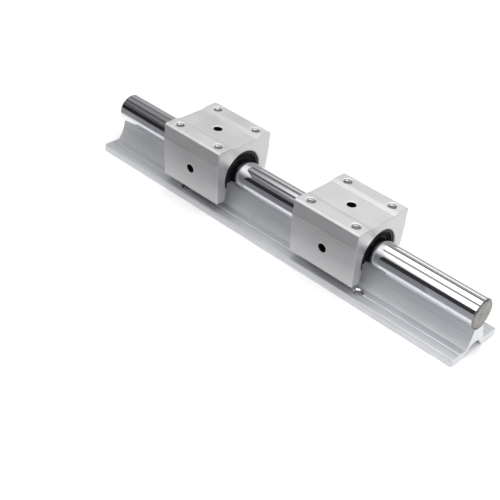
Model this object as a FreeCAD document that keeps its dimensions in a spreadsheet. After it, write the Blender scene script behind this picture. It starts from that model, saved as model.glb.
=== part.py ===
import FreeCAD, Part
import math
import os

import Sketcher
from FreeCAD import Vector

# Supported round rail with two open bearing blocks.
# +X runs along the rail, +Y across it and +Z up; the origin is at the middle of the support's underside.

DIMENSIONS = (
    # rail
    ("rail_length", 300, "length of the shaft and of the support below it"),
    ("shaft_height", 27, "shaft axis above the support's underside"),
    ("shaft_diameter", 20, "ground shaft"),
    ("shaft_chamfer", 1, "chamfer on both ends of the shaft"),
    ("base_width", 45, "width of the support's flange"),
    ("flange_thickness", 5, "thickness of the flange"),
    ("flange_round", 0.8, "round on the flange's upper outer edges"),
    ("seat_width", 10, "width of the cradle that holds the shaft"),
    ("seat_gap", 0.05, "radial gap between shaft and cradle"),
    ("root_width", 19.6, "width of the support's web where it meets the flange"),
    ("flank_radius", 24, "hollow round of the web's flanks"),
    ("channel_mouth", 17, "width of the channel in the underside, at the floor"),
    ("channel_roof", 6.6, "width of that channel at its roof"),
    ("channel_depth", 6.5, "depth of that channel, where the screw heads seat"),
    ("guide_groove_width", 0.8, "width of the drill guide groove on each flange"),
    ("guide_groove_depth", 0.4, "depth of that groove"),
    # holes of the rail
    ("rail_pitch", 150, "distance along the rail between its holes"),
    ("rail_spread", 30, "distance across the rail between its holes"),
    ("rail_hole", 5.5, "diameter of the mounting holes in the flange"),
    ("rail_hole_mouth", 7.2, "diameter of their chamfered mouths"),
    # shaft screws
    ("screw_diameter", 6, "thread of the shaft screws"),
    ("screw_length", 20, "length of the shaft screws under the head"),
    ("screw_head", 10, "diameter of their heads"),
    ("screw_head_height", 6, "height of their heads"),
    ("screw_clearance", 0.3, "radial gap round the shaft screw in the web"),
    ("head_recess", 11, "diameter of the recess round the head, cut up to the channel's roof"),
    ("screw_spare_depth", 2, "depth of the shaft's tapped hole beyond the screw"),
    ("socket_flats", 5, "hexagon socket of the shaft screws, across flats"),
    ("socket_depth", 3, "depth of that socket"),
    ("thread_gap", 0.03, "radial gap between a screw and its tapped hole"),
    # bearing block
    ("left_position", -65, "rest position of the left block's middle along the rail"),
    ("right_position", 49, "rest position of the right block's middle along the rail"),
    ("block_length", 50, "length of the block along the rail"),
    ("block_width", 48, "width of the block across the rail, over its milled sides above the ridges"),
    ("block_top", 23, "mounting pads above the shaft axis"),
    ("block_depth", 39, "height of the block from its legs to its pads"),
    ("ridge_height", 12.5, "height of the side ridge above the shaft axis"),
    ("ridge_step", 0.4, "step from the milled sides out to the ridges"),
    ("foot_width", 43.4, "width over the outside of the legs at their ends"),
    ("leg_gap", 30, "gap between the legs at their ends"),
    ("bore_mouth", 28, "gap between the legs where they leave the bore"),
    ("pad_inner", 28, "distance between the inner edges of the two pads"),
    ("recess_width", 21, "width of the flat floor between the pads"),
    ("recess_depth", 1, "depth of that floor below the pads"),
    ("edge_chamfer", 1, "chamfer on the pads' long outer edges"),
    ("block_hole_pitch", 35, "distance between the tapped holes, along and across"),
    ("block_hole", 6, "diameter of the tapped holes"),
    ("block_hole_mouth", 7, "diameter of their countersunk mouths"),
    ("block_hole_depth", 12, "depth of the four mounting holes"),
    # ball bush
    ("bush_diameter", 32, "bore of the block and outside of the ball bush"),
    ("bush_length", 48, "length of the ball bush"),
    ("bush_fit", 0.02, "radial gap between bush and block"),
    ("bush_opening", 120, "opening angle of the bush and its seals"),
    ("bore_chamfer", 0.3, "chamfer at both ends of the block's bore"),
    ("cage_gap", 0.3, "radial gap between the ball cage and the shaft"),
    ("seal_diameter", 28, "outside of the end seals"),
    ("seal_width", 2.4, "thickness of an end seal"),
    ("seal_inset", 1.2, "depth of a seal's face inside the end of the bush"),
    ("lip_gap", 0.05, "radial gap between the seal's lip and the shaft"),
    # locating screw
    ("locator_length", 4, "length of the locating screw"),
    ("locator_flats", 3, "hexagon socket of the locating screw, across flats"),
    ("locator_socket_depth", 2.4, "depth of that socket"),
    ("locator_gap", 0.1, "gap between the locating screw's tip and the bush"),
)

BLOCKS = ("left", "right")


class Size:
    """A length or angle worked out from cells of the sheet: its number, and its expression."""

    def __init__(self, value, text):
        self.value = value
        self.text = text

    def __add__(self, other):
        other = as_size(other)
        return Size(self.value + other.value, f"({self.text} + {other.text})")

    def __sub__(self, other):
        other = as_size(other)
        return Size(self.value - other.value, f"({self.text} - {other.text})")

    def __mul__(self, other):
        other = as_size(other)
        return Size(self.value * other.value, f"({self.text} * {other.text})")

    def __truediv__(self, other):
        other = as_size(other)
        return Size(self.value / other.value, f"({self.text} / {other.text})")

    def __neg__(self):
        return Size(-self.value, f"(0 - {self.text})")


def as_size(number):
    return number if isinstance(number, Size) else Size(float(number), f"{float(number):.9f}")


def leg(hypotenuse, other_leg):
    """The second leg of a right triangle."""
    square = hypotenuse * hypotenuse - other_leg * other_leg
    return Size(math.sqrt(square.value), f"sqrt({square.text})")


def fill_sheet(document):
    """Put the driving dimensions in the sheet and return them by name."""
    sheet = document.addObject("Spreadsheet::Sheet", "Sizes")
    sizes = {}
    for row, (alias, value, meaning) in enumerate(DIMENSIONS, start=1):
        sheet.set(f"A{row}", alias)
        sheet.set(f"B{row}", str(value))
        sheet.setAlias(f"B{row}", alias)
        sheet.set(f"C{row}", meaning)
        sizes[alias] = Size(float(value), f"Sizes.{alias}")
    return sizes


def bind(feature, name, size):
    feature.setExpression(name, size.text)


def new_body(label, base=(None, None, None)):
    """Start a piece, placed by sizes where it doesn't sit at the origin."""
    body = doc.addObject("PartDesign::Body", label)
    body.Label = label
    for axis, size in zip("xyz", base):
        if size is not None:
            bind(body, f"Placement.Base.{axis}", size)
    return body


def new_sketch(body, name, role, offset=None):
    """Lay a sketch on one of the piece's own origin planes, moved along its normal by a size."""
    sketch = body.newObject("Sketcher::SketchObject", name)
    plane = next(feature for feature in body.Origin.OriginFeatures if feature.Role == role)
    sketch.AttachmentSupport = (plane, "")
    sketch.MapMode = "FlatFace"
    if offset is not None:
        bind(sketch, "AttachmentOffset.Base.z", offset)
    return sketch


def fix_point(sketch, geometry, point, across, up):
    """Hold one point of a sketch at two sizes from its origin."""
    for kind, size, axis in (("DistanceX", across, -2), ("DistanceY", up, -1)):
        if abs(size.value) < 1e-9:
            sketch.addConstraint(Sketcher.Constraint("PointOnObject", geometry, point, axis))
        else:
            index = sketch.addConstraint(Sketcher.Constraint(kind, -1, 1, geometry, point, size.value))
            bind(sketch, f"Constraints[{index}]", size)


class Bend:
    """An arc from one corner of an outline to the next: turn is 1 to the left and -1 to the right."""

    def __init__(self, radius, turn, large=False):
        self.radius = radius
        self.turn = turn
        self.large = large

    def geometry(self, start, end):
        chord = end - start
        height = math.sqrt(max(self.radius.value**2 - chord.Length**2 / 4, 0.0))
        left = Vector(-chord.y, chord.x, 0) / chord.Length
        side = -self.turn if self.large else self.turn
        centre = (start + end) / 2 + left * height * side
        first, last = (start, end) if self.turn > 0 else (end, start)
        angles = [math.atan2(corner.y - centre.y, corner.x - centre.x) for corner in (first, last)]
        if angles[1] <= angles[0]:
            angles[1] += 2 * math.pi
        circle = Part.Circle(centre, Vector(0, 0, 1), self.radius.value)
        return Part.ArcOfCircle(circle, *angles)


def draw_outline(sketch, corners):
    """Draw a closed outline; each corner is (across, up, bend), the bend for the edge that leaves it."""
    corners = [(as_size(across), as_size(up), bend) for across, up, bend in corners]
    spots = [Vector(across.value, up.value, 0) for across, up, bend in corners]
    ends = []
    for number, (across, up, bend) in enumerate(corners):
        start, end = spots[number], spots[(number + 1) % len(spots)]
        if bend is None:
            index = sketch.addGeometry(Part.LineSegment(start, end), False)
            ends.append((index, 1, 2))
        else:
            index = sketch.addGeometry(bend.geometry(start, end), False)
            ends.append((index, 1, 2) if bend.turn > 0 else (index, 2, 1))
    for number, (across, up, bend) in enumerate(corners):
        index, tail, head = ends[number]
        following, next_tail, _ = ends[(number + 1) % len(ends)]
        sketch.addConstraint(Sketcher.Constraint("Coincident", index, head, following, next_tail))
        fix_point(sketch, index, tail, across, up)
        if bend is not None:
            radius = sketch.addConstraint(Sketcher.Constraint("Radius", index, bend.radius.value))
            bind(sketch, f"Constraints[{radius}]", bend.radius)


def mirrored(half, closing=None):
    """Complete a half outline, drawn upwards on the right, with its mirror image on the left."""
    other = []
    for number in range(len(half) - 1, -1, -1):
        across, up, _ = half[number]
        bend = half[number - 1][2] if number else closing
        other.append((-as_size(across), up, bend))
    return half + other


def draw_circle(sketch, across, up, diameter):
    across, up = as_size(across), as_size(up)
    centre = Vector(across.value, up.value, 0)
    index = sketch.addGeometry(Part.Circle(centre, Vector(0, 0, 1), diameter.value / 2), False)
    fix_point(sketch, index, 3, across, up)
    constraint = sketch.addConstraint(Sketcher.Constraint("Diameter", index, diameter.value))
    bind(sketch, f"Constraints[{constraint}]", diameter)


def draw_hexagon(sketch, flats):
    """A hexagon round the sketch's origin, given across flats."""
    corner = flats / math.sqrt(3)
    turns = [math.radians(60 * number) for number in range(6)]
    draw_outline(sketch, [(corner * math.cos(turn), corner * math.sin(turn), None) for turn in turns])


def pad(body, name, sketch, length):
    """Extrude a sketch by a length, half to each side."""
    feature = body.newObject("PartDesign::Pad", name)
    feature.Profile = sketch
    feature.SideType = "Symmetric"
    bind(feature, "Length", length)
    return feature


def pocket(body, name, sketch, length, reverse=False):
    feature = body.newObject("PartDesign::Pocket", name)
    feature.Profile = sketch
    feature.Reversed = reverse
    bind(feature, "Length", length)
    return feature


def turn(body, kind, name, sketch, axis, angle=None):
    """Revolve or groove a sketch about its own axis, by a full turn or half an angle to each side."""
    feature = body.newObject(f"PartDesign::{kind}", name)
    feature.Profile = sketch
    feature.ReferenceAxis = (sketch, [axis])
    if angle is None:
        feature.Angle = 360
    else:
        feature.Midplane = True
        bind(feature, "Angle", angle)
    return feature


def drill(body, name, sketch, diameter, depth, mouth=None, reverse=False):
    """Drill the circles of a sketch, with a right-angled countersink where a mouth is given."""
    feature = body.newObject("PartDesign::Hole", name)
    feature.Profile = sketch
    doc.recompute()
    feature.Reversed = reverse
    feature.DepthType = "Dimension"
    feature.DrillPoint = "Flat"
    if mouth is not None:
        feature.HoleCutType = "Countersink"
        feature.HoleCutCustomValues = True
        feature.HoleCutCountersinkAngle = 90
        bind(feature, "HoleCutDiameter", mouth)
    bind(feature, "Diameter", diameter)
    bind(feature, "Depth", depth)
    return feature


def build_support_rail(d):
    """Extruded support: a flange with a channel below, and a web that ends in the shaft's cradle."""
    body = new_body("support_rail")
    seat_radius = d["shaft_diameter"] / 2 + d["seat_gap"]
    seat_half = d["seat_width"] / 2
    base_half = d["base_width"] / 2
    groove = d["rail_spread"] / 2
    groove_half = d["guide_groove_width"] / 2
    top = d["flange_thickness"]
    half = [
        (d["channel_roof"] / 2, d["channel_depth"], None),
        (d["channel_mouth"] / 2, 0, None),
        (base_half, 0, None),
        (base_half, top - d["flange_round"], Bend(d["flange_round"], 1)),
        (base_half - d["flange_round"], top, None),
        (groove + groove_half, top, None),
        (groove, top - d["guide_groove_depth"], None),
        (groove - groove_half, top, None),
        (d["root_width"] / 2, top, Bend(d["flank_radius"], -1)),
        (seat_half, d["shaft_height"] - leg(seat_radius, seat_half), Bend(seat_radius, -1)),
    ]
    profile = new_sketch(body, "support_section", "YZ_Plane")
    draw_outline(profile, mirrored(half))
    pad(body, "support_extrusion", profile, d["rail_length"])

    holes = new_sketch(body, "mounting_hole_centres", "XY_Plane", offset=top)
    for along in (-d["rail_pitch"] / 2, d["rail_pitch"] / 2):
        for across in (-groove, groove):
            draw_circle(holes, along, across, d["rail_hole"])
    drill(body, "mounting_holes", holes, d["rail_hole"], top * 2, mouth=d["rail_hole_mouth"])

    screws = new_sketch(body, "shaft_screw_centres", "XY_Plane", offset=d["shaft_height"])
    clearance_hole = d["screw_diameter"] + d["screw_clearance"] * 2
    for along in (-d["rail_pitch"] / 2, d["rail_pitch"] / 2):
        draw_circle(screws, along, 0, clearance_hole)
    drill(body, "shaft_screw_holes", screws, clearance_hole, d["shaft_height"])

    recesses = new_sketch(body, "head_recess_centres", "XY_Plane")
    for along in (-d["rail_pitch"] / 2, d["rail_pitch"] / 2):
        draw_circle(recesses, along, 0, d["head_recess"])
    drill(body, "head_recesses", recesses, d["head_recess"], d["channel_depth"], reverse=True)
    return body


def build_shaft(d):
    """Ground round shaft with chamfered ends and two tapped holes in its underside."""
    body = new_body("shaft", base=(None, None, d["shaft_height"]))
    end = d["rail_length"] / 2
    radius = d["shaft_diameter"] / 2
    profile = new_sketch(body, "shaft_half_section", "XY_Plane")
    outline = [
        (end, 0, None),
        (end, radius - d["shaft_chamfer"], None),
        (end - d["shaft_chamfer"], radius, None),
        (d["shaft_chamfer"] - end, radius, None),
        (-end, radius - d["shaft_chamfer"], None),
        (-end, 0, None),
    ]
    draw_outline(profile, outline)
    turn(body, "Revolution", "turned_shaft", profile, "H_Axis")

    tapped = d["screw_diameter"] + d["thread_gap"] * 2
    underside = d["shaft_height"] - radius
    depth = d["screw_length"] + d["screw_spare_depth"] + d["channel_depth"] - underside
    holes = new_sketch(body, "tapped_hole_centres", "XY_Plane", offset=-radius)
    for along in (-d["rail_pitch"] / 2, d["rail_pitch"] / 2):
        draw_circle(holes, along, 0, tapped)
    drill(body, "tapped_holes", holes, tapped, depth, reverse=True)
    return body


def build_shaft_screw(d, label, along):
    """Socket head screw that pulls the shaft down into its cradle from below."""
    body = new_body(label, base=(along, None, d["channel_depth"]))
    head_radius = d["screw_head"] / 2
    shank_radius = d["screw_diameter"] / 2
    profile = new_sketch(body, "screw_half_section", "XZ_Plane")
    outline = [
        (0, -d["screw_head_height"], None),
        (head_radius, -d["screw_head_height"], None),
        (head_radius, 0, None),
        (shank_radius, 0, None),
        (shank_radius, d["screw_length"], None),
        (0, d["screw_length"], None),
    ]
    draw_outline(profile, outline)
    turn(body, "Revolution", "turned_screw", profile, "V_Axis")

    socket = new_sketch(body, "socket_hexagon", "XY_Plane", offset=-d["screw_head_height"])
    draw_hexagon(socket, d["socket_flats"])
    pocket(body, "socket", socket, d["socket_depth"], reverse=True)
    return body


def build_housing(d, label, along):
    """Open bearing block: two raised pads on top, a ridge along each side, and legs round an open bore."""
    body = new_body(label, base=(along, None, d["shaft_height"]))
    bore_radius = d["bush_diameter"] / 2
    side = d["block_width"] / 2
    top = d["block_top"]
    foot = top - d["block_depth"]
    floor = top - d["recess_depth"]
    mouth_half = d["bore_mouth"] / 2
    half = [
        (mouth_half, -leg(bore_radius, mouth_half), None),
        (d["leg_gap"] / 2, foot, None),
        (d["foot_width"] / 2, foot, None),
        (side + d["ridge_step"], d["ridge_height"], None),
        (side, d["ridge_height"], None),
        (side, top - d["edge_chamfer"], None),
        (side - d["edge_chamfer"], top, None),
        (d["pad_inner"] / 2, top, None),
        (d["recess_width"] / 2, floor, None),
    ]
    profile = new_sketch(body, "block_section", "YZ_Plane")
    draw_outline(profile, mirrored(half, closing=Bend(bore_radius, -1, large=True)))
    pad(body, "block_extrusion", profile, d["block_length"])

    end = d["block_length"] / 2
    bore_edge = new_sketch(body, "bore_chamfer_section", "XZ_Plane")
    for sign in (1, -1):
        corners = [
            (end * sign, bore_radius - d["bore_chamfer"], None),
            (end * sign, bore_radius + d["bore_chamfer"], None),
            ((end - d["bore_chamfer"] * 2) * sign, bore_radius - d["bore_chamfer"], None),
        ]
        draw_outline(bore_edge, corners)
    turn(body, "Groove", "bore_chamfers", bore_edge, "H_Axis")

    half_pitch = d["block_hole_pitch"] / 2
    holes = new_sketch(body, "tapped_hole_centres", "XY_Plane", offset=top)
    for x_place in (-half_pitch, half_pitch):
        for y_place in (-half_pitch, half_pitch):
            draw_circle(holes, x_place, y_place, d["block_hole"])
    drill(body, "tapped_holes", holes, d["block_hole"], d["block_hole_depth"], mouth=d["block_hole_mouth"])

    oil_hole = new_sketch(body, "oil_hole_centre", "XY_Plane", offset=floor)
    draw_circle(oil_hole, 0, 0, d["block_hole"])
    drill(body, "oil_hole", oil_hole, d["block_hole"], floor, mouth=d["block_hole_mouth"])

    locator_hole = new_sketch(body, "locator_hole_centre", "XZ_Plane", offset=side)
    draw_circle(locator_hole, 0, 0, d["block_hole"])
    drill(body, "locator_hole", locator_hole, d["block_hole"], side)
    return body


def build_ball_bush(d, label, along):
    """Open ball bush: a sleeve, open below for the support's web, with a recess at each end for a seal."""
    body = new_body(label, base=(along, None, d["shaft_height"]))
    end = d["bush_length"] / 2
    outside = d["bush_diameter"] / 2 - d["bush_fit"]
    seal_seat = d["seal_diameter"] / 2 + d["bush_fit"]
    seat_depth = d["seal_inset"] + d["seal_width"]
    inside = d["shaft_diameter"] / 2 + d["cage_gap"]
    profile = new_sketch(body, "bush_half_section", "XZ_Plane")
    outline = [
        (-end, outside, None),
        (-end, seal_seat, None),
        (seat_depth - end, seal_seat, None),
        (seat_depth - end, inside, None),
        (end - seat_depth, inside, None),
        (end - seat_depth, seal_seat, None),
        (end, seal_seat, None),
        (end, outside, None),
    ]
    draw_outline(profile, outline)
    turn(body, "Revolution", "open_sleeve", profile, "H_Axis", angle=as_size(360) - d["bush_opening"])
    return body


def build_seal(d, label, along, outward):
    """End seal of the bush: an open ring that ends on the shaft."""
    body = new_body(label, base=(along, None, d["shaft_height"]))
    face = (d["bush_length"] / 2 - d["seal_inset"]) * outward
    back = face - d["seal_width"] * outward
    rim = d["seal_diameter"] / 2
    lip_radius = d["shaft_diameter"] / 2 + d["lip_gap"]
    profile = new_sketch(body, "seal_half_section", "XZ_Plane")
    outline = [
        (back, lip_radius, None),
        (back, rim, None),
        (face, rim, None),
        (face, lip_radius, None),
    ]
    draw_outline(profile, outline)
    turn(body, "Revolution", "seal_ring", profile, "H_Axis", angle=as_size(360) - d["bush_opening"])
    return body


def build_locating_screw(d, label, along):
    """Headless screw in the block's near side that holds the bush in place."""
    body = new_body(label, base=(along, None, d["shaft_height"]))
    radius = d["block_hole"] / 2 - d["thread_gap"]
    tip = -(d["bush_diameter"] / 2 + d["locator_gap"])
    outer = tip - d["locator_length"]
    profile = new_sketch(body, "locator_half_section", "XY_Plane")
    outline = [
        (0, tip, None),
        (radius, tip, None),
        (radius, outer, None),
        (0, outer, None),
    ]
    draw_outline(profile, outline)
    turn(body, "Revolution", "turned_locator", profile, "V_Axis")

    socket = new_sketch(body, "locator_hexagon", "XZ_Plane", offset=-outer)
    draw_hexagon(socket, d["locator_flats"])
    pocket(body, "locator_socket", socket, d["locator_socket_depth"])
    return body


def check_model(document, bodies):
    """Stop if a feature failed, a cut removed nothing or a piece isn't one valid solid."""
    for item in document.Objects:
        if {"Invalid", "Error"} & set(item.State):
            raise RuntimeError(f"{item.Name} failed: {item.State}")
        if item.TypeId in ("PartDesign::Pocket", "PartDesign::Groove", "PartDesign::Hole"):
            removed = item.BaseFeature.Shape.Volume - item.Shape.Volume
            if removed < 1e-3:
                raise RuntimeError(f"{item.Name} removed nothing")
    for body in bodies:
        if body.Shape.isNull() or not body.Shape.isValid() or len(body.Shape.Solids) != 1:
            raise RuntimeError(f"{body.Label} isn't one valid solid")


def build_all(d):
    """Every piece of the rail and of its two bearing blocks."""
    bodies = [build_support_rail(d), build_shaft(d)]
    for side, sign in zip(BLOCKS, (-1, 1)):
        bodies.append(build_shaft_screw(d, f"{side}_shaft_screw", d["rail_pitch"] / 2 * sign))
    for side in BLOCKS:
        place = d[f"{side}_position"]
        bodies.append(build_housing(d, f"{side}_block_housing", place))
        bodies.append(build_ball_bush(d, f"{side}_ball_bush", place))
        bodies.append(build_seal(d, f"{side}_block_left_seal", place, -1))
        bodies.append(build_seal(d, f"{side}_block_right_seal", place, 1))
        bodies.append(build_locating_screw(d, f"{side}_locating_screw", place))
    return bodies


doc = FreeCAD.newDocument("supported_round_rail")
pieces = build_all(fill_sheet(doc))
doc.recompute()
check_model(doc, pieces)
os.makedirs("parts", exist_ok=True)
for piece in pieces:
    piece.Shape.exportStep(f"parts/{piece.Label}.step")
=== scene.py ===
import math

import bpy
import numpy as np
from bpy.props import FloatProperty, FloatVectorProperty, IntProperty, PointerProperty
from mathutils import Matrix, Vector


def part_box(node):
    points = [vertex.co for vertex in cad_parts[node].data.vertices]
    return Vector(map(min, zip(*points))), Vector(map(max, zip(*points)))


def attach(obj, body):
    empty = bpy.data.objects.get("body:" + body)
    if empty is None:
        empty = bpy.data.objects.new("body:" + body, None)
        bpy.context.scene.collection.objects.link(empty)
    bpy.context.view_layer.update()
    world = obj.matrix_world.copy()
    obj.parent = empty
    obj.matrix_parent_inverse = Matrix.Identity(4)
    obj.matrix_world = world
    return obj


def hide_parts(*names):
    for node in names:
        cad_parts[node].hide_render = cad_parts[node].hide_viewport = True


bl_info = {
    "name": "Supported round rail",
    "version": (1, 0, 0),
    "blender": (4, 5, 0),
    "location": "3D View > Sidebar > Round rail",
    "description": "Finishes, threads, seals and studio for a supported round rail with two blocks",
    "category": "Object",
}

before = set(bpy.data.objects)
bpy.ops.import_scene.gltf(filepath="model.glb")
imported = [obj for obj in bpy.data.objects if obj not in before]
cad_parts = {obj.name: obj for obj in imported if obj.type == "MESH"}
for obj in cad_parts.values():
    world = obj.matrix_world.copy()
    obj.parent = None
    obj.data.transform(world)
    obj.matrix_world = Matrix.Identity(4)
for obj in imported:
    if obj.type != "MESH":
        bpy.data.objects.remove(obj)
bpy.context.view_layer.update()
MM = 0.001
BLOCKS = ("left_block", "right_block")
ENDS = ("left", "right")
SHAFT_LOW, SHAFT_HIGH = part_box("shaft")
RAIL_END = SHAFT_HIGH.x
SHAFT_RADIUS = (SHAFT_HIGH.z - SHAFT_LOW.z) / 2
SHAFT_AXIS = (SHAFT_HIGH.z + SHAFT_LOW.z) / 2
BLOCK_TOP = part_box("left_block_housing")[1].z
# Directions that a distance is measured along, as shares of X, Y and Z: the first three give the
# distance from an axis along X, Y or Z, and the last gives the distance across the rail.
ROUND_X = (0.0, 1.0, 1.0)
ROUND_Y = (1.0, 0.0, 1.0)
ROUND_Z = (1.0, 1.0, 0.0)
ALONG_Y = (0.0, 1.0, 0.0)
# Nearly all of a noise lies between these.
NOISE_RANGE = {"From Min": 0.3, "From Max": 0.7}


def linear(code):
    """An sRGB hex colour as linear red, green and blue."""
    parts = [int(code[start:start + 2], 16) / 255 for start in (1, 3, 5)]
    return tuple(part / 12.92 if part <= 0.04045 else ((part + 0.055) / 1.055) ** 2.4
                 for part in parts)


def opaque(colour):
    """Red, green and blue with a full alpha, as a shader's colour input takes them."""
    return (*colour, 1.0)


class RailFinishes(bpy.types.PropertyGroup):
    """Colours and surfaces of the rail and its blocks."""

    support_colour: FloatVectorProperty(
        name="Support", description="Extruded aluminium of the support",
        subtype="COLOR", size=3, min=0, max=1, default=linear("#D8D9DC"))
    support_roughness: FloatProperty(
        name="Support roughness", description="Roughness of the mill finish",
        subtype="FACTOR", min=0.05, max=1, default=0.58)
    block_colour: FloatVectorProperty(
        name="Blocks", description="Clear anodised aluminium of the blocks",
        subtype="COLOR", size=3, min=0, max=1, default=linear("#E2E2E2"))
    block_roughness: FloatProperty(
        name="Block roughness", description="Roughness of the satin finish",
        subtype="FACTOR", min=0.05, max=1, default=0.62)
    shaft_colour: FloatVectorProperty(
        name="Shaft", description="Hard chrome of the shaft",
        subtype="COLOR", size=3, min=0, max=1, default=linear("#E6E7EA"))
    shaft_roughness: FloatProperty(
        name="Shaft roughness", description="Roughness of the ground chrome",
        subtype="FACTOR", min=0.0, max=1, default=0.07)
    shaft_end_colour: FloatVectorProperty(
        name="Shaft ends", description="Bare turned steel of the shaft's ends",
        subtype="COLOR", size=3, min=0, max=1, default=linear("#979590"))
    bush_colour: FloatVectorProperty(
        name="Bush", description="Moulded black plastic of the ball bush",
        subtype="COLOR", size=3, min=0, max=1, default=linear("#0C0C0E"))
    seal_colour: FloatVectorProperty(
        name="Seals", description="Black rubber of the end seals",
        subtype="COLOR", size=3, min=0, max=1, default=linear("#0B0B0C"))
    screw_colour: FloatVectorProperty(
        name="Screws", description="Black oxide steel of the screws",
        subtype="COLOR", size=3, min=0, max=1, default=linear("#2A2A2D"))


class RailThreads(bpy.types.PropertyGroup):
    """Tapped holes of the blocks."""

    radius: FloatProperty(
        name="Radius", description="Radius of the tapped holes", unit="LENGTH", default=3.0 * MM)
    pitch: FloatProperty(
        name="Pitch", description="Rise of the thread in one turn", unit="LENGTH",
        default=1.0 * MM)
    height: FloatProperty(
        name="Height", description="How far the thread stands in from the hole's wall",
        unit="LENGTH", default=0.55 * MM)
    hole_pitch: FloatProperty(
        name="Hole pitch", description="Distance between the mounting holes", unit="LENGTH",
        default=35 * MM)
    depth: FloatProperty(
        name="Depth", description="Depth of the mounting holes", unit="LENGTH", default=12 * MM)
    steps: IntProperty(
        name="Steps", description="Steps in one turn of a thread", min=12, max=96, default=36)


class RailSeals(bpy.types.PropertyGroup):
    """End seals of the ball bushes."""

    ridges: IntProperty(
        name="Ridges", description="Ridges moulded round a seal's face", min=0, max=5, default=2)
    ridge_height: FloatProperty(
        name="Ridge height", description="Height of those ridges", unit="LENGTH",
        default=0.25 * MM)
    steps: IntProperty(
        name="Steps", description="Steps round a seal", min=24, max=256, default=120)


class RailStage(bpy.types.PropertyGroup):
    """Floor, lamps and camera."""

    floor_colour: FloatVectorProperty(
        name="Floor", description="Paper under the rail", subtype="COLOR", size=3, min=0, max=1,
        default=linear("#FDFDFD"))
    rear_level: FloatProperty(
        name="Rear lamp", description="Brightness of the softbox overhead, where 1 is white",
        min=0, default=3.1)
    far_level: FloatProperty(
        name="Far lamp", description="Brightness of the softbox behind, where 1 is white",
        min=0, default=1.2)
    front_level: FloatProperty(
        name="Front lamp", description="Brightness of the softbox in front, where 1 is white",
        min=0, default=3.25)
    lamp_height: FloatProperty(
        name="Lamp height", description="Height of the softboxes above the floor", unit="LENGTH",
        default=1.2)
    lamp_start: FloatProperty(
        name="Lamp start", description="Where the softboxes start along the rail's direction",
        unit="LENGTH", default=-1.35)
    lamp_end: FloatProperty(
        name="Lamp end", description="Where they end", unit="LENGTH", default=0.7)
    rear_rise: FloatVectorProperty(
        name="Rear rise",
        description="Where the softbox overhead starts to brighten, and where it is bright",
        unit="LENGTH", size=2, default=(-0.87, -0.30))
    front_rise: FloatVectorProperty(
        name="Front rise",
        description="Where the softbox in front starts to brighten, and where it is bright",
        unit="LENGTH", size=2, default=(-0.95, -0.15))
    rear_rim: FloatProperty(
        name="Rear rim", description="Brightness of the softbox overhead at its start",
        min=0, default=0.3)
    front_rim: FloatProperty(
        name="Front rim", description="Brightness of the softbox in front at its start",
        min=0, default=0.2)
    side_power: FloatProperty(
        name="Side lamp", description="Power of the soft lamp beside the rail's right end",
        unit="POWER", min=0, default=4.0)
    side_size: FloatProperty(
        name="Side lamp size", description="Width and height of that lamp", unit="LENGTH",
        default=0.5)
    side_place: FloatVectorProperty(
        name="Side lamp place", description="Where that lamp stands", subtype="XYZ",
        unit="LENGTH", size=3, default=(1.0, -0.3, 0.9))
    world_strength: FloatProperty(
        name="Room light", description="Strength of the even room light", min=0, default=0.42)
    target: FloatVectorProperty(
        name="Target", description="Point that the camera looks at", subtype="XYZ",
        unit="LENGTH", size=3, default=(-0.0106, -0.0181, -0.0107))
    distance: FloatProperty(
        name="Distance", description="From the camera to its target", unit="LENGTH",
        default=0.7105)
    azimuth: FloatProperty(
        name="Azimuth", description="Turn of the camera about the upright from +X",
        subtype="ANGLE", default=math.radians(-50.55))
    elevation: FloatProperty(
        name="Elevation", description="Height of the camera above the floor's plane",
        subtype="ANGLE", default=math.radians(35.52))
    roll: FloatProperty(
        name="Roll", description="Turn of the camera about its own line of sight",
        subtype="ANGLE", default=math.radians(6.87))
    sensor: FloatProperty(
        name="Sensor", description="Width of the camera's sensor", unit="CAMERA", default=36)
    lens: FloatProperty(
        name="Lens", description="Focal length of the camera", unit="CAMERA", default=78.41)


def add_node(tree, kind, inputs=None, **settings):
    """Add a node with its settings and links.

    An input is given as a value, as a socket, or as a node, whose first output then feeds it.
    """
    node = tree.nodes.new(kind)
    for name, value in settings.items():
        setattr(node, name, value)
    for name, value in (inputs or {}).items():
        if isinstance(value, bpy.types.Node):
            value = value.outputs[0]
        if isinstance(value, bpy.types.NodeSocket):
            tree.links.new(value, node.inputs[name])
        else:
            node.inputs[name].default_value = value
    return node


def new_material(name):
    """A node material that holds its output only."""
    material = bpy.data.materials.new(name)
    material.use_nodes = True
    tree = material.node_tree
    tree.nodes.clear()
    output = add_node(tree, "ShaderNodeOutputMaterial")
    return material, tree, output


def grain(tree, spacing, detail=2.0, roughness=0.5):
    """Grain, lines or clouds, whose lumps are that many millimetres apart along X, Y and Z."""
    coordinates = add_node(tree, "ShaderNodeTexCoord")
    scaled = add_node(tree, "ShaderNodeMapping", {
        "Vector": coordinates.outputs["Object"],
        "Scale": tuple(1 / (length * MM) for length in spacing)})
    return add_node(tree, "ShaderNodeTexNoise", {
        "Vector": scaled, "Scale": 1.0, "Detail": detail, "Roughness": roughness})


def beyond_end(tree, limit):
    """1 beyond that distance along the rail, to either side, and 0 elsewhere."""
    coordinates = add_node(tree, "ShaderNodeTexCoord")
    parts = add_node(tree, "ShaderNodeSeparateXYZ", {"Vector": coordinates.outputs["Object"]})
    along = add_node(tree, "ShaderNodeMath", {0: parts.outputs["X"]}, operation="ABSOLUTE")
    return add_node(tree, "ShaderNodeMath", {0: along, 1: limit}, operation="GREATER_THAN")


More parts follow.
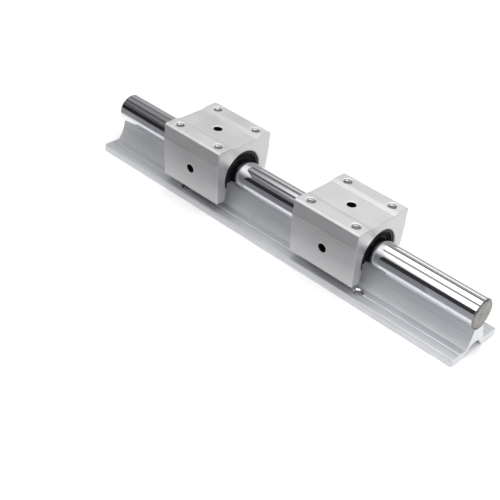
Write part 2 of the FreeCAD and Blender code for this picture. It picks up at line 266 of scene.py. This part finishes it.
def away_from(tree, centre, directions, quarters=False):
    """Distance from a centre, measured along some directions only.

    With quarters, the centre stands at the same place in each quarter of the rail seen from above.
    """
    place = add_node(tree, "ShaderNodeTexCoord").outputs["Object"]
    if quarters:
        place = add_node(tree, "ShaderNodeVectorMath", {0: place}, operation="ABSOLUTE")
    offset = add_node(tree, "ShaderNodeVectorMath", {0: place, 1: centre}, operation="SUBTRACT")
    flat = add_node(tree, "ShaderNodeVectorMath", {0: offset, 1: directions},
                    operation="MULTIPLY")
    length = add_node(tree, "ShaderNodeVectorMath", {0: flat}, operation="LENGTH")
    return length.outputs["Value"]


def within(tree, centre, directions, radius, quarters=False):
    """1 where that distance is under a radius, and 0 elsewhere."""
    away = away_from(tree, centre, directions, quarters)
    return add_node(tree, "ShaderNodeMath", {0: away, 1: radius}, operation="LESS_THAN")


def facing(tree, axis, share, margin):
    """1 on faces whose normal has that share of an axis, to within a margin, and 0 elsewhere."""
    coordinates = add_node(tree, "ShaderNodeTexCoord")
    parts = add_node(tree, "ShaderNodeSeparateXYZ", {"Vector": coordinates.outputs["Normal"]})
    size = add_node(tree, "ShaderNodeMath", {0: parts.outputs[axis]}, operation="ABSOLUTE")
    return add_node(tree, "ShaderNodeMath", {0: size, 1: share, 2: margin}, operation="COMPARE")


def toned(tree, shade, mask, factor):
    """The shade, multiplied by a factor where the mask is 1."""
    tone = add_node(tree, "ShaderNodeMapRange", {"Value": mask, "To Min": 1.0, "To Max": factor})
    return add_node(tree, "ShaderNodeMath", {0: shade, 1: tone}, operation="MULTIPLY")


def extruded_aluminium(settings):
    """Mill finish: drawn through a die, so fine bright and dull lines run along it.

    Its ends are sawn, and the drilled holes of its flanges are smoother, with painted shade in and
    round them. Die lines are 0.1 to 1 mm apart, and the coarser ones are drawn, 0.7 mm apart, so
    that they show.
    """
    material, tree, output = new_material("extruded_aluminium")
    lines = grain(tree, (150, 0.7, 0.7), detail=3.0, roughness=0.6)
    broad = grain(tree, (100, 5, 5))
    cloud = grain(tree, (30, 20, 20), detail=3.0)
    line_shade = add_node(tree, "ShaderNodeMapRange", {
        "Value": lines, **NOISE_RANGE, "To Min": 0.86, "To Max": 1.06})
    cloud_shade = add_node(tree, "ShaderNodeMapRange", {
        "Value": cloud, **NOISE_RANGE, "To Min": 0.94, "To Max": 1.03})
    shade = add_node(tree, "ShaderNodeMath", {0: line_shade, 1: cloud_shade},
                     operation="MULTIPLY")
    drawn = add_node(tree, "ShaderNodeBsdfPrincipled", {
        "Base Color": add_node(tree, "ShaderNodeVectorMath", {
            0: settings.support_colour, 1: shade}, operation="MULTIPLY"),
        "Metallic": 1.0,
        "Roughness": add_node(tree, "ShaderNodeMapRange", {
            "Value": broad, **NOISE_RANGE, "To Min": settings.support_roughness - 0.05,
            "To Max": settings.support_roughness + 0.07}),
        "Normal": add_node(tree, "ShaderNodeBump", {
            "Height": lines, "Distance": 0.04 * MM, "Strength": 1.0})})
    saw_marks = grain(tree, (10, 0.4, 12))
    sawn = add_node(tree, "ShaderNodeBsdfPrincipled", {
        "Base Color": opaque(settings.support_colour), "Metallic": 1.0, "Roughness": 0.36,
        "Normal": add_node(tree, "ShaderNodeBump", {
            "Height": saw_marks, "Distance": 0.06 * MM, "Strength": 1.0})})
    # Painted shade in and round the drilled holes of the flanges: their colour darkened to 0.6 to
    # 0.8
    hole_painted_shade = add_node(tree, "ShaderNodeMapRange", {
        "Value": cloud, **NOISE_RANGE, "To Min": 0.6, "To Max": 0.8})
    drilled = add_node(tree, "ShaderNodeBsdfPrincipled", {
        "Base Color": add_node(tree, "ShaderNodeVectorMath", {
            0: settings.support_colour, 1: hole_painted_shade}, operation="MULTIPLY"),
        "Metallic": 1.0, "Roughness": 0.24})
    hole_centre = (75 * MM, 15 * MM, 0.0)
    hole_mouth_radius = 3.7 * MM
    holes = within(tree, hole_centre, ROUND_Z, hole_mouth_radius, quarters=True)
    flange = add_node(tree, "ShaderNodeMixShader", {0: holes, 1: drawn, 2: drilled})
    ends = beyond_end(tree, RAIL_END - 0.05 * MM)
    whole = add_node(tree, "ShaderNodeMixShader", {0: ends, 1: flange, 2: sawn})
    tree.links.new(whole.outputs[0], output.inputs["Surface"])
    return material


def ground_chrome(settings):
    """Hard chrome, ground round: a mirror with faint rings; its cut ends are bare turned steel.

    Grinding rings and turning grooves of some 0.05 mm wouldn't show, so they are drawn 0.6 mm and
    0.5 mm apart. The cut ends start at the shaft's chamfers.
    """
    material, tree, output = new_material("ground_chrome")
    rings = grain(tree, (0.6, 50, 50))
    chrome = add_node(tree, "ShaderNodeBsdfPrincipled", {
        "Base Color": opaque(settings.shaft_colour), "Metallic": 1.0,
        "Roughness": add_node(tree, "ShaderNodeMapRange", {
            "Value": rings, **NOISE_RANGE, "To Min": settings.shaft_roughness - 0.02,
            "To Max": settings.shaft_roughness + 0.02}),
        "Normal": add_node(tree, "ShaderNodeBump", {
            "Height": rings, "Distance": 0.001 * MM, "Strength": 1.0})})
    radius = away_from(tree, (0.0, 0.0, SHAFT_AXIS), ROUND_X)
    groove_pitch = 0.5 * MM
    turns = add_node(tree, "ShaderNodeMath", {0: radius, 1: math.tau / groove_pitch},
                     operation="MULTIPLY")
    grooves = add_node(tree, "ShaderNodeMath", {0: turns}, operation="SINE")
    stains = grain(tree, (6, 6, 4), detail=3.0)
    stain_shade = add_node(tree, "ShaderNodeMapRange", {
        "Value": stains, **NOISE_RANGE, "To Min": 0.55, "To Max": 1.2})
    turned = add_node(tree, "ShaderNodeBsdfPrincipled", {
        "Base Color": add_node(tree, "ShaderNodeVectorMath", {
            0: settings.shaft_end_colour, 1: stain_shade}, operation="MULTIPLY"),
        "Metallic": 1.0, "Roughness": 0.42,
        "Normal": add_node(tree, "ShaderNodeBump", {
            "Height": grooves, "Distance": 0.006 * MM, "Strength": 1.0})})
    ends = beyond_end(tree, RAIL_END - 1.05 * MM)
    whole = add_node(tree, "ShaderNodeMixShader", {0: ends, 1: chrome, 2: turned})
    tree.links.new(whole.outputs[0], output.inputs["Surface"])
    return material


def satin_aluminium(settings, end):
    """Clear anodised after a fine blast: even silver with a fine grain and faint long lines.

    The ends are milled and shine a little more. The chamfers are rougher, and are painted lighter
    as a painted highlight. The oil hole and the side hole have painted shade inside, where little
    light gets in, and so have the level steps of the side ridges.
    The blast's grain of some 0.05 mm is drawn 0.4 mm apart, so that it shows.
    """
    low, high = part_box(f"{end}_block_housing")
    middle = (low.x + high.x) / 2
    hole_radius = 3.04 * MM
    side_hole_depth = 9 * MM
    milled_half_width = 23.95 * MM
    broken_edge = 1.2 * MM
    material, tree, output = new_material(f"satin_anodised_aluminium_{end}")
    blast = grain(tree, (0.4, 0.4, 0.4))
    lines = grain(tree, (60, 1, 1))
    cloud = grain(tree, (20, 12, 12), detail=3.0)
    line_shade = add_node(tree, "ShaderNodeMapRange", {
        "Value": lines, **NOISE_RANGE, "To Min": 0.97, "To Max": 1.01})
    cloud_shade = add_node(tree, "ShaderNodeMapRange", {
        "Value": cloud, **NOISE_RANGE, "To Min": 0.96, "To Max": 1.02})
    shade = add_node(tree, "ShaderNodeMath", {0: line_shade, 1: cloud_shade},
                     operation="MULTIPLY")
    rough = add_node(tree, "ShaderNodeMapRange", {
        "Value": cloud, **NOISE_RANGE, "To Min": settings.block_roughness - 0.03,
        "To Max": settings.block_roughness + 0.05})
    oil_hole = within(tree, (middle, 0.0, 0.0), ROUND_Z, hole_radius)
    side_hole = within(tree, (middle, low.y, SHAFT_AXIS), ROUND_Y, hole_radius)
    near_side = within(tree, (0.0, low.y, 0.0), ALONG_Y, side_hole_depth)
    near_hole = add_node(tree, "ShaderNodeMath", {0: side_hole, 1: near_side},
                         operation="MULTIPLY")
    holes = add_node(tree, "ShaderNodeMath", {0: oil_hole, 1: near_hole}, operation="MAXIMUM")
    # Painted shade inside the oil hole and the side hole, where little light gets in
    shade = toned(tree, shade, holes, 0.03)
    milled = facing(tree, "X", 1.0, 0.02)
    shade = toned(tree, shade, milled, 0.84)
    rough = toned(tree, rough, milled, 0.75)
    # Chamfers: rougher, and painted lighter, a painted highlight where they catch the light
    slanted = facing(tree, "Z", math.sqrt(0.5), 0.05)
    shade = toned(tree, shade, slanted, 1.2)
    rough = toned(tree, rough, slanted, 1.3)
    # Painted shade on the level top and underside of each side ridge, so that the ridge shows as a
    # line
    inner = within(tree, (0.0, 0.0, 0.0), ALONG_Y, milled_half_width)
    beside = add_node(tree, "ShaderNodeMath", {0: 1.0, 1: inner}, operation="SUBTRACT")
    level = facing(tree, "Z", 1.0, 0.02)
    ridge_painted_shade = add_node(tree, "ShaderNodeMath", {0: beside, 1: level}, operation="MULTIPLY")
    shade = toned(tree, shade, ridge_painted_shade, 0.45)
    satin = add_node(tree, "ShaderNodeBsdfPrincipled", {
        "Base Color": add_node(tree, "ShaderNodeVectorMath", {
            0: settings.block_colour, 1: shade}, operation="MULTIPLY"),
        "Metallic": 1.0, "Roughness": rough,
        "Normal": add_node(tree, "ShaderNodeBump", {
            "Height": blast, "Distance": 0.03 * MM, "Strength": 1.0,
            "Normal": add_node(tree, "ShaderNodeBevel", {"Radius": broken_edge}, samples=8)})})
    tree.links.new(satin.outputs[0], output.inputs["Surface"])
    return material


def cut_aluminium(settings):
    """Threads fresh from the tap: smoother than the anodised faces, with light and dark scratches.

    The scratches run round the thread, 0.1 mm apart.
    """
    material, tree, output = new_material("cut_aluminium")
    scratches = grain(tree, (1, 1, 0.1))
    shade = add_node(tree, "ShaderNodeMapRange", {
        "Value": scratches, **NOISE_RANGE, "To Min": 0.5, "To Max": 0.9})
    cut = add_node(tree, "ShaderNodeBsdfPrincipled", {
        "Base Color": add_node(tree, "ShaderNodeVectorMath", {
            0: settings.block_colour, 1: shade}, operation="MULTIPLY"),
        "Metallic": 1.0,
        "Roughness": add_node(tree, "ShaderNodeMapRange", {
            "Value": scratches, **NOISE_RANGE, "To Min": 0.22, "To Max": 0.34})})
    tree.links.new(cut.outputs[0], output.inputs["Surface"])
    return material


def moulded_plastic(settings):
    """Black moulded plastic: dull satin, with the mould's grain 0.5 mm apart."""
    material, tree, output = new_material("black_moulded_plastic")
    mould = grain(tree, (0.5, 0.5, 0.5))
    plastic = add_node(tree, "ShaderNodeBsdfPrincipled", {
        "Base Color": opaque(settings.bush_colour),
        "Roughness": add_node(tree, "ShaderNodeMapRange", {
            "Value": mould, **NOISE_RANGE, "To Min": 0.36, "To Max": 0.46}),
        "IOR": 1.5, "Specular IOR Level": 0.3,
        "Normal": add_node(tree, "ShaderNodeBump", {
            "Height": mould, "Distance": 0.02 * MM, "Strength": 1.0})})
    tree.links.new(plastic.outputs[0], output.inputs["Surface"])
    return material


def nitrile_rubber(settings):
    """Black nitrile rubber: matt, with a faint bloom in patches of 4 mm."""
    material, tree, output = new_material("black_nitrile_rubber")
    bloom = grain(tree, (4, 4, 4), detail=3.0)
    shade = add_node(tree, "ShaderNodeMapRange", {
        "Value": bloom, **NOISE_RANGE, "To Min": 0.85, "To Max": 1.3})
    rubber = add_node(tree, "ShaderNodeBsdfPrincipled", {
        "Base Color": add_node(tree, "ShaderNodeVectorMath", {
            0: settings.seal_colour, 1: shade}, operation="MULTIPLY"),
        "Roughness": add_node(tree, "ShaderNodeMapRange", {
            "Value": bloom, **NOISE_RANGE, "To Min": 0.5, "To Max": 0.62}),
        "IOR": 1.52, "Specular IOR Level": 0.25})
    tree.links.new(rubber.outputs[0], output.inputs["Surface"])
    return material


def black_oxide_steel(settings):
    """Steel blackened in a hot bath: dark, with a dull metal sheen.

    The oxide's crystals are far under 0.1 mm, and are drawn 0.6 mm apart so that they show.
    """
    material, tree, output = new_material("black_oxide_steel")
    oxide = grain(tree, (0.6, 0.6, 0.6))
    steel = add_node(tree, "ShaderNodeBsdfPrincipled", {
        "Base Color": opaque(settings.screw_colour), "Metallic": 1.0,
        "Roughness": add_node(tree, "ShaderNodeMapRange", {
            "Value": oxide, **NOISE_RANGE, "To Min": 0.34, "To Max": 0.46}),
        "Normal": add_node(tree, "ShaderNodeBump", {
            "Height": oxide, "Distance": 0.01 * MM, "Strength": 1.0})})
    tree.links.new(steel.outputs[0], output.inputs["Surface"])
    return material


def finish(node, material):
    """Give a CAD node its material."""
    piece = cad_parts[node]
    piece.data.materials.clear()
    piece.data.materials.append(material)


def grid_faces(rows, columns, first):
    """Faces of a grid whose rows are rings of points, with a cap over the first and last ring.

    The grid's points are counted from first, and the faces point outwards.
    """
    row, column = np.meshgrid(np.arange(rows - 1), np.arange(columns), indexing="ij")
    following = (column + 1) % columns
    quads = first + np.stack([
        row * columns + column, (row + 1) * columns + column,
        (row + 1) * columns + following, row * columns + following], axis=-1)
    first_cap = first + np.arange(columns)
    last_cap = first_cap[::-1] + (rows - 1) * columns
    return [*quads.reshape(-1, 4).tolist(), first_cap.tolist(), last_cap.tolist()]


def new_piece(name, grids, material, body):
    """One mesh from several grids of rings, riding on a body."""
    vertices = []
    faces = []
    count = 0
    for points in grids:
        rows, columns, _ = points.shape
        vertices.append(points.reshape(-1, 3))
        faces += grid_faces(rows, columns, count)
        count += rows * columns
    mesh = bpy.data.meshes.new(name)
    mesh.from_pydata(np.concatenate(vertices).tolist(), [], faces)
    mesh.materials.append(material)
    mesh.validate()
    mesh.update()
    piece = bpy.data.objects.new(name, mesh)
    bpy.context.scene.collection.objects.link(piece)
    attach(piece, body)
    return piece


def thread_coil(mouth, length, settings):
    """A thread in an upright hole, as a closed coil from the hole's mouth down.

    With u the turn about the hole's axis and v the place on the thread's outline, a point lies at
    the radius of v, turned by u, and at the depth of v plus one pitch for every turn. At both ends
    the outline shrinks into the hole's wall.
    """
    wall, height, pitch = settings.radius, settings.height, settings.pitch
    root = wall + height * 0.3
    near_wall = wall - height * 0.05
    crest = wall - height
    outline = np.array([
        (root, pitch * 0.47),
        (near_wall, pitch * 0.44),
        (crest, pitch * 0.08),
        (crest, pitch * -0.08),
        (near_wall, pitch * -0.44),
        (root, pitch * -0.47)])
    turns = length / pitch
    whole_turn = turns * math.tau
    run_out = 1.5
    thinnest = 0.02
    u = np.linspace(0, whole_turn, int(turns * settings.steps) + 1)[:, None]
    fade = np.clip(np.minimum(u, whole_turn - u) / run_out, thinnest, 1.0)
    radius = root - (root - outline[None, :, 0]) * fade
    depth = outline[None, :, 1] * fade + u / math.tau * pitch
    return np.stack([mouth.x + np.cos(u) * radius, mouth.y - np.sin(u) * radius,
                     mouth.z - depth], axis=-1)


def seal_ring(node, outward, settings):
    """An end seal as a ring with a lip on the shaft.

    With v the place on the half section and u the angle round the shaft, a point lies at the
    section's place along the shaft and at its radius, turned by u, and u leaves the bush's opening
    below free.
    """
    low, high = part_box(node)
    face = high.x if outward > 0 else low.x
    thickness = high.x - low.x
    rim = (high.y - low.y) / 2
    lip = SHAFT_RADIUS + 0.05 * MM
    rounding = 0.2 * MM
    set_back = 0.2 * MM
    ridged_to = rim - 1.3 * MM
    ridged_from = lip + 0.9 * MM
    ridged_points = 14
    radii = np.linspace(ridged_to, ridged_from, ridged_points)
    turn = np.linspace(0, settings.ridges * math.tau, ridged_points)
    ripple = -np.cos(turn) * settings.ridge_height / 2
    floor = settings.ridge_height / 2 - 0.7 * MM
    section = [(-thickness, lip + 0.6 * MM), (-thickness, rim), (-rounding, rim),
               (0, rim - rounding), (0, ridged_to + rounding), (floor * 0.6, ridged_to)]
    section += list(zip(ripple + floor - set_back, radii))
    section += [(-0.3 * MM, lip + 0.45 * MM), (-0.4 * MM, lip), (-0.8 * MM, lip)]
    section = np.array(section)
    opening = math.acos(min(1.0, (SHAFT_AXIS - low.z) / rim))
    u = np.linspace(opening, math.tau - opening, settings.steps)[:, None]
    along = face + section[None, :, 0] * outward + u * 0
    radius = section[None, :, 1] + u * 0
    points = np.stack([along, np.sin(u) * radius, SHAFT_AXIS - np.cos(u) * radius], axis=-1)
    return points if outward > 0 else points[:, ::-1]


class ROUND_RAIL_OT_finish_rail(bpy.types.Operator):
    """Give the support, the shaft and the shaft screws their finishes"""

    bl_idname = "round_rail.finish_rail"
    bl_label = "Finish the rail"

    def execute(self, context):
        settings = context.scene.round_rail_finishes
        finish("support_rail", extruded_aluminium(settings))
        finish("shaft", ground_chrome(settings))
        steel = black_oxide_steel(settings)
        for end in ENDS:
            finish(f"{end}_shaft_screw", steel)
        return {"FINISHED"}


class ROUND_RAIL_OT_finish_blocks(bpy.types.Operator):
    """Give the housings, the ball bushes and the locating screws their finishes"""

    bl_idname = "round_rail.finish_blocks"
    bl_label = "Finish the blocks"

    def execute(self, context):
        settings = context.scene.round_rail_finishes
        plastic = moulded_plastic(settings)
        steel = black_oxide_steel(settings)
        for end in ENDS:
            finish(f"{end}_block_housing", satin_aluminium(settings, end))
            finish(f"{end}_ball_bush", plastic)
            finish(f"{end}_locating_screw", steel)
        return {"FINISHED"}


class ROUND_RAIL_OT_add_threads(bpy.types.Operator):
    """Cut the threads of each block's four mounting holes"""

    bl_idname = "round_rail.add_threads"
    bl_label = "Add the threads"

    def execute(self, context):
        settings = context.scene.round_rail_threads
        material = cut_aluminium(context.scene.round_rail_finishes)
        half = settings.hole_pitch / 2
        start = BLOCK_TOP - settings.pitch
        length = settings.depth - settings.pitch * 2
        for end in ENDS:
            low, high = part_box(f"{end}_block_housing")
            middle = (low.x + high.x) / 2
            coils = []
            for along in (-half, half):
                for across in (-half, half):
                    mouth = Vector((middle + along, across, start))
                    coils.append(thread_coil(mouth, length, settings))
            new_piece(f"{end}_block_threads", coils, material, f"{end}_block")
        return {"FINISHED"}


class ROUND_RAIL_OT_add_seals(bpy.types.Operator):
    """Put a ridged seal with a lip at both ends of each ball bush"""

    bl_idname = "round_rail.add_seals"
    bl_label = "Add the seals"

    def execute(self, context):
        settings = context.scene.round_rail_seals
        material = nitrile_rubber(context.scene.round_rail_finishes)
        for block in BLOCKS:
            for end, outward in zip(ENDS, (-1, 1)):
                node = f"{block}_{end}_seal"
                ring = seal_ring(node, outward, settings)
                seal = new_piece(f"{node}_lip", [ring], material, block)
                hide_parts(node)
        return {"FINISHED"}


def stage_card(name, span, first_edge, last_edge, material):
    """A flat card of the studio between two edges, each given by its Y and Z over a span of X."""
    start, end = span
    corners = [(start, *first_edge), (end, *first_edge), (end, *last_edge), (start, *last_edge)]
    mesh = bpy.data.meshes.new(name)
    mesh.from_pydata(corners, [], [(0, 1, 2, 3)])
    mesh.materials.append(material)
    card = bpy.data.objects.new(name, mesh)
    bpy.context.scene.collection.objects.link(card)
    return card


def softbox_fabric(name, level, rim, rise):
    """Lit fabric of a softbox, which brightens along the rail's direction from its rim's level."""
    material, tree, output = new_material(name)
    coordinates = add_node(tree, "ShaderNodeTexCoord")
    parts = add_node(tree, "ShaderNodeSeparateXYZ", {"Vector": coordinates.outputs["Object"]})
    rising_from, bright_from = rise
    strength = add_node(tree, "ShaderNodeMapRange", {
        "Value": parts.outputs["X"], "From Min": rising_from, "From Max": bright_from,
        "To Min": rim, "To Max": level}, interpolation_type="SMOOTHSTEP")
    fabric = add_node(tree, "ShaderNodeEmission", {
        "Color": opaque((1.0, 1.0, 1.0)), "Strength": strength})
    tree.links.new(fabric.outputs[0], output.inputs["Surface"])
    return material


def white_paper(settings):
    """Matt white studio paper, with a trace of its fibres."""
    material, tree, output = new_material("studio_paper")
    fibre = add_node(tree, "ShaderNodeMapRange", {
        "Value": grain(tree, (10, 10, 10)), **NOISE_RANGE, "To Min": 0.995, "To Max": 1.0})
    paper = add_node(tree, "ShaderNodeBsdfPrincipled", {
        "Base Color": add_node(tree, "ShaderNodeVectorMath", {
            0: settings.floor_colour, 1: fibre}, operation="MULTIPLY"),
        "Roughness": 1.0, "Specular IOR Level": 0.0})
    tree.links.new(paper.outputs[0], output.inputs["Surface"])
    return material


def studio_cloth(name, code, thin_from=None, dense_from=None):
    """Flag cloth, which gives the chrome its dark bands.

    Cloth that lies in front of the rail thins out towards it, from one place across to another.
    """
    material, tree, output = new_material(name)
    weave = add_node(tree, "ShaderNodeMapRange", {
        "Value": grain(tree, (5, 5, 5)), **NOISE_RANGE, "To Min": 0.9, "To Max": 1.1})
    cloth = add_node(tree, "ShaderNodeBsdfPrincipled", {
        "Base Color": add_node(tree, "ShaderNodeVectorMath", {
            0: linear(code), 1: weave}, operation="MULTIPLY"),
        "Roughness": 0.95})
    if thin_from is not None:
        coordinates = add_node(tree, "ShaderNodeTexCoord")
        parts = add_node(tree, "ShaderNodeSeparateXYZ", {"Vector": coordinates.outputs["Object"]})
        density = add_node(tree, "ShaderNodeMapRange", {
            "Value": parts.outputs["Y"], "From Min": thin_from, "From Max": dense_from})
        open_weave = add_node(tree, "ShaderNodeBsdfTransparent")
        cloth = add_node(tree, "ShaderNodeMixShader", {0: density, 1: open_weave, 2: cloth})
    tree.links.new(cloth.outputs[0], output.inputs["Surface"])
    return material


def hang_softboxes(settings):
    """Hang the three softboxes face down, above the rail, behind it and in front of it."""
    height = settings.lamp_height
    span = (settings.lamp_start, settings.lamp_end)
    rear = softbox_fabric("rear_softbox_fabric", settings.rear_level, settings.rear_rim,
                          settings.rear_rise)
    far = softbox_fabric("far_softbox_fabric", settings.far_level, settings.far_level,
                         settings.rear_rise)
    front = softbox_fabric("front_softbox_fabric", settings.front_level, settings.front_rim,
                           settings.front_rise)
    # Name, far edge, near edge and fabric.
    for name, far_edge, near_edge, fabric in (
            ("rear_softbox", 0.55, -0.105, rear),
            ("far_softbox", 3.2, 1.5, far),
            ("front_softbox", -0.485, -1.78, front)):
        stage_card(name, span, (far_edge, height), (near_edge, height), fabric)


def hang_flags(settings):
    """Hang the cards that show in reflections only and throw no shadow."""
    height = settings.lamp_height
    above_lamps = height + 50 * MM
    board_place = -47 * MM
    board_top = 34 * MM
    board_seam = 0.10
    shade_place = -23 * MM
    dense_place = -65 * MM
    shade_height = 0.5 * MM
    black = studio_cloth("black_cloth", "#303033")
    grey = studio_cloth("grey_cloth", "#6E6F72")
    left_grey = studio_cloth("left_board_cloth", "#9C9DA2")
    right_grey = studio_cloth("right_board_cloth", "#B4B5B9")
    thinning = studio_cloth("shade_cloth", "#6E6F72", shade_place, dense_place)
    # Name, span along the rail, first edge, last edge and cloth.
    for name, span, first_edge, last_edge, cloth in (
            ("front_flag", (-2.6, 2.4), (-1.95, 0.10), (-1.80, 1.2), black),
            ("rear_edge", (-2.6, 2.4), (0.81, height), (0.61, height), black),
            ("left_flag", (-3.2, -0.55), (0.6, above_lamps), (-1.9, above_lamps), grey),
            ("left_board", (-0.45, board_seam), (board_place, 0.0), (board_place, board_top),
             left_grey),
            ("right_board", (board_seam, 0.40), (board_place, 0.0), (board_place, board_top),
             right_grey),
            ("front_shade", (-3.0, 3.0), (-2.0, shade_height), (shade_place, shade_height),
             thinning)):
        card = stage_card(name, span, first_edge, last_edge, cloth)
        card.visible_camera = False
        card.visible_diffuse = False
        card.visible_shadow = False


def stand_side_lamp(settings):
    """Stand one square soft lamp beside the rail's right end, aimed at it."""
    lamp = bpy.data.lights.new("side_lamp", "AREA")
    lamp.shape = "SQUARE"
    lamp.size = settings.side_size
    lamp.energy = settings.side_power
    holder = bpy.data.objects.new("side_lamp", lamp)
    holder.location = settings.side_place
    aim = Vector((RAIL_END, 0, 0)) - holder.location
    holder.rotation_euler = aim.to_track_quat("-Z", "Y").to_euler()
    bpy.context.scene.collection.objects.link(holder)


def light_room(settings):
    """Light the room evenly in white."""
    world = bpy.data.worlds.new("studio_room")
    world.use_nodes = True
    tree = world.node_tree
    tree.nodes.clear()
    room = add_node(tree, "ShaderNodeBackground", {
        "Color": opaque((1.0, 1.0, 1.0)), "Strength": settings.world_strength})
    add_node(tree, "ShaderNodeOutputWorld", {"Surface": room})
    bpy.context.scene.world = world


def place_camera(settings):
    """Place the camera on its line of sight, at its distance from the target, and roll it."""
    flat = math.cos(settings.elevation)
    away = Vector((flat * math.cos(settings.azimuth), flat * math.sin(settings.azimuth),
                   math.sin(settings.elevation)))
    level = Vector((0, 0, 1)).cross(away).normalized()
    up = away.cross(level)
    right = level * math.cos(settings.roll) + up * math.sin(settings.roll)
    up = away.cross(right)
    place = Vector(settings.target) + away * settings.distance
    lens = bpy.data.cameras.new("camera")
    lens.lens = settings.lens
    lens.sensor_width = settings.sensor
    camera = bpy.data.objects.new("camera", lens)
    turned = Matrix((right, up, away)).transposed().to_4x4()
    camera.matrix_world = Matrix.Translation(place) @ turned
    bpy.context.scene.collection.objects.link(camera)
    bpy.context.scene.camera = camera


class ROUND_RAIL_OT_build_stage(bpy.types.Operator):
    """Lay the floor, set the lamps, the flags and the room light, and place the camera"""

    bl_idname = "round_rail.build_stage"
    bl_label = "Build the stage"

    def execute(self, context):
        settings = context.scene.round_rail_stage
        reach = 6.0
        level = -0.2 * MM
        stage_card("floor", (-reach, reach), (-reach, level), (reach, level),
                   white_paper(settings))
        hang_softboxes(settings)
        hang_flags(settings)
        stand_side_lamp(settings)
        light_room(settings)
        place_camera(settings)
        context.scene.view_settings.view_transform = "Standard"
        return {"FINISHED"}


OPERATORS = (
    ROUND_RAIL_OT_finish_rail,
    ROUND_RAIL_OT_finish_blocks,
    ROUND_RAIL_OT_add_threads,
    ROUND_RAIL_OT_add_seals,
    ROUND_RAIL_OT_build_stage,
)

GROUPS = (
    (RailFinishes, "round_rail_finishes"),
    (RailThreads, "round_rail_threads"),
    (RailSeals, "round_rail_seals"),
    (RailStage, "round_rail_stage"),
)


class ROUND_RAIL_PT_panel(bpy.types.Panel):
    """Sizes, colours and operators of the round rail"""

    bl_label = "Round rail"
    bl_idname = "ROUND_RAIL_PT_panel"
    bl_space_type = "VIEW_3D"
    bl_region_type = "UI"
    bl_category = "Round rail"

    def draw(self, context):
        layout = self.layout
        for group, name in GROUPS:
            box = layout.box()
            for setting in group.__annotations__:
                box.prop(getattr(context.scene, name), setting)
        for operator in OPERATORS:
            layout.operator(operator.bl_idname)


def register():
    for group, name in GROUPS:
        bpy.utils.register_class(group)
        setattr(bpy.types.Scene, name, PointerProperty(type=group))
    for item in (*OPERATORS, ROUND_RAIL_PT_panel):
        bpy.utils.register_class(item)


def unregister():
    for item in (ROUND_RAIL_PT_panel, *reversed(OPERATORS)):
        bpy.utils.unregister_class(item)
    for group, name in reversed(GROUPS):
        delattr(bpy.types.Scene, name)
        bpy.utils.unregister_class(group)


def main():
    """Register the add-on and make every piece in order."""
    register()
    for operator in OPERATORS:
        family, action = operator.bl_idname.split(".")
        getattr(getattr(bpy.ops, family), action)()


if __name__ == "__main__":
    main()
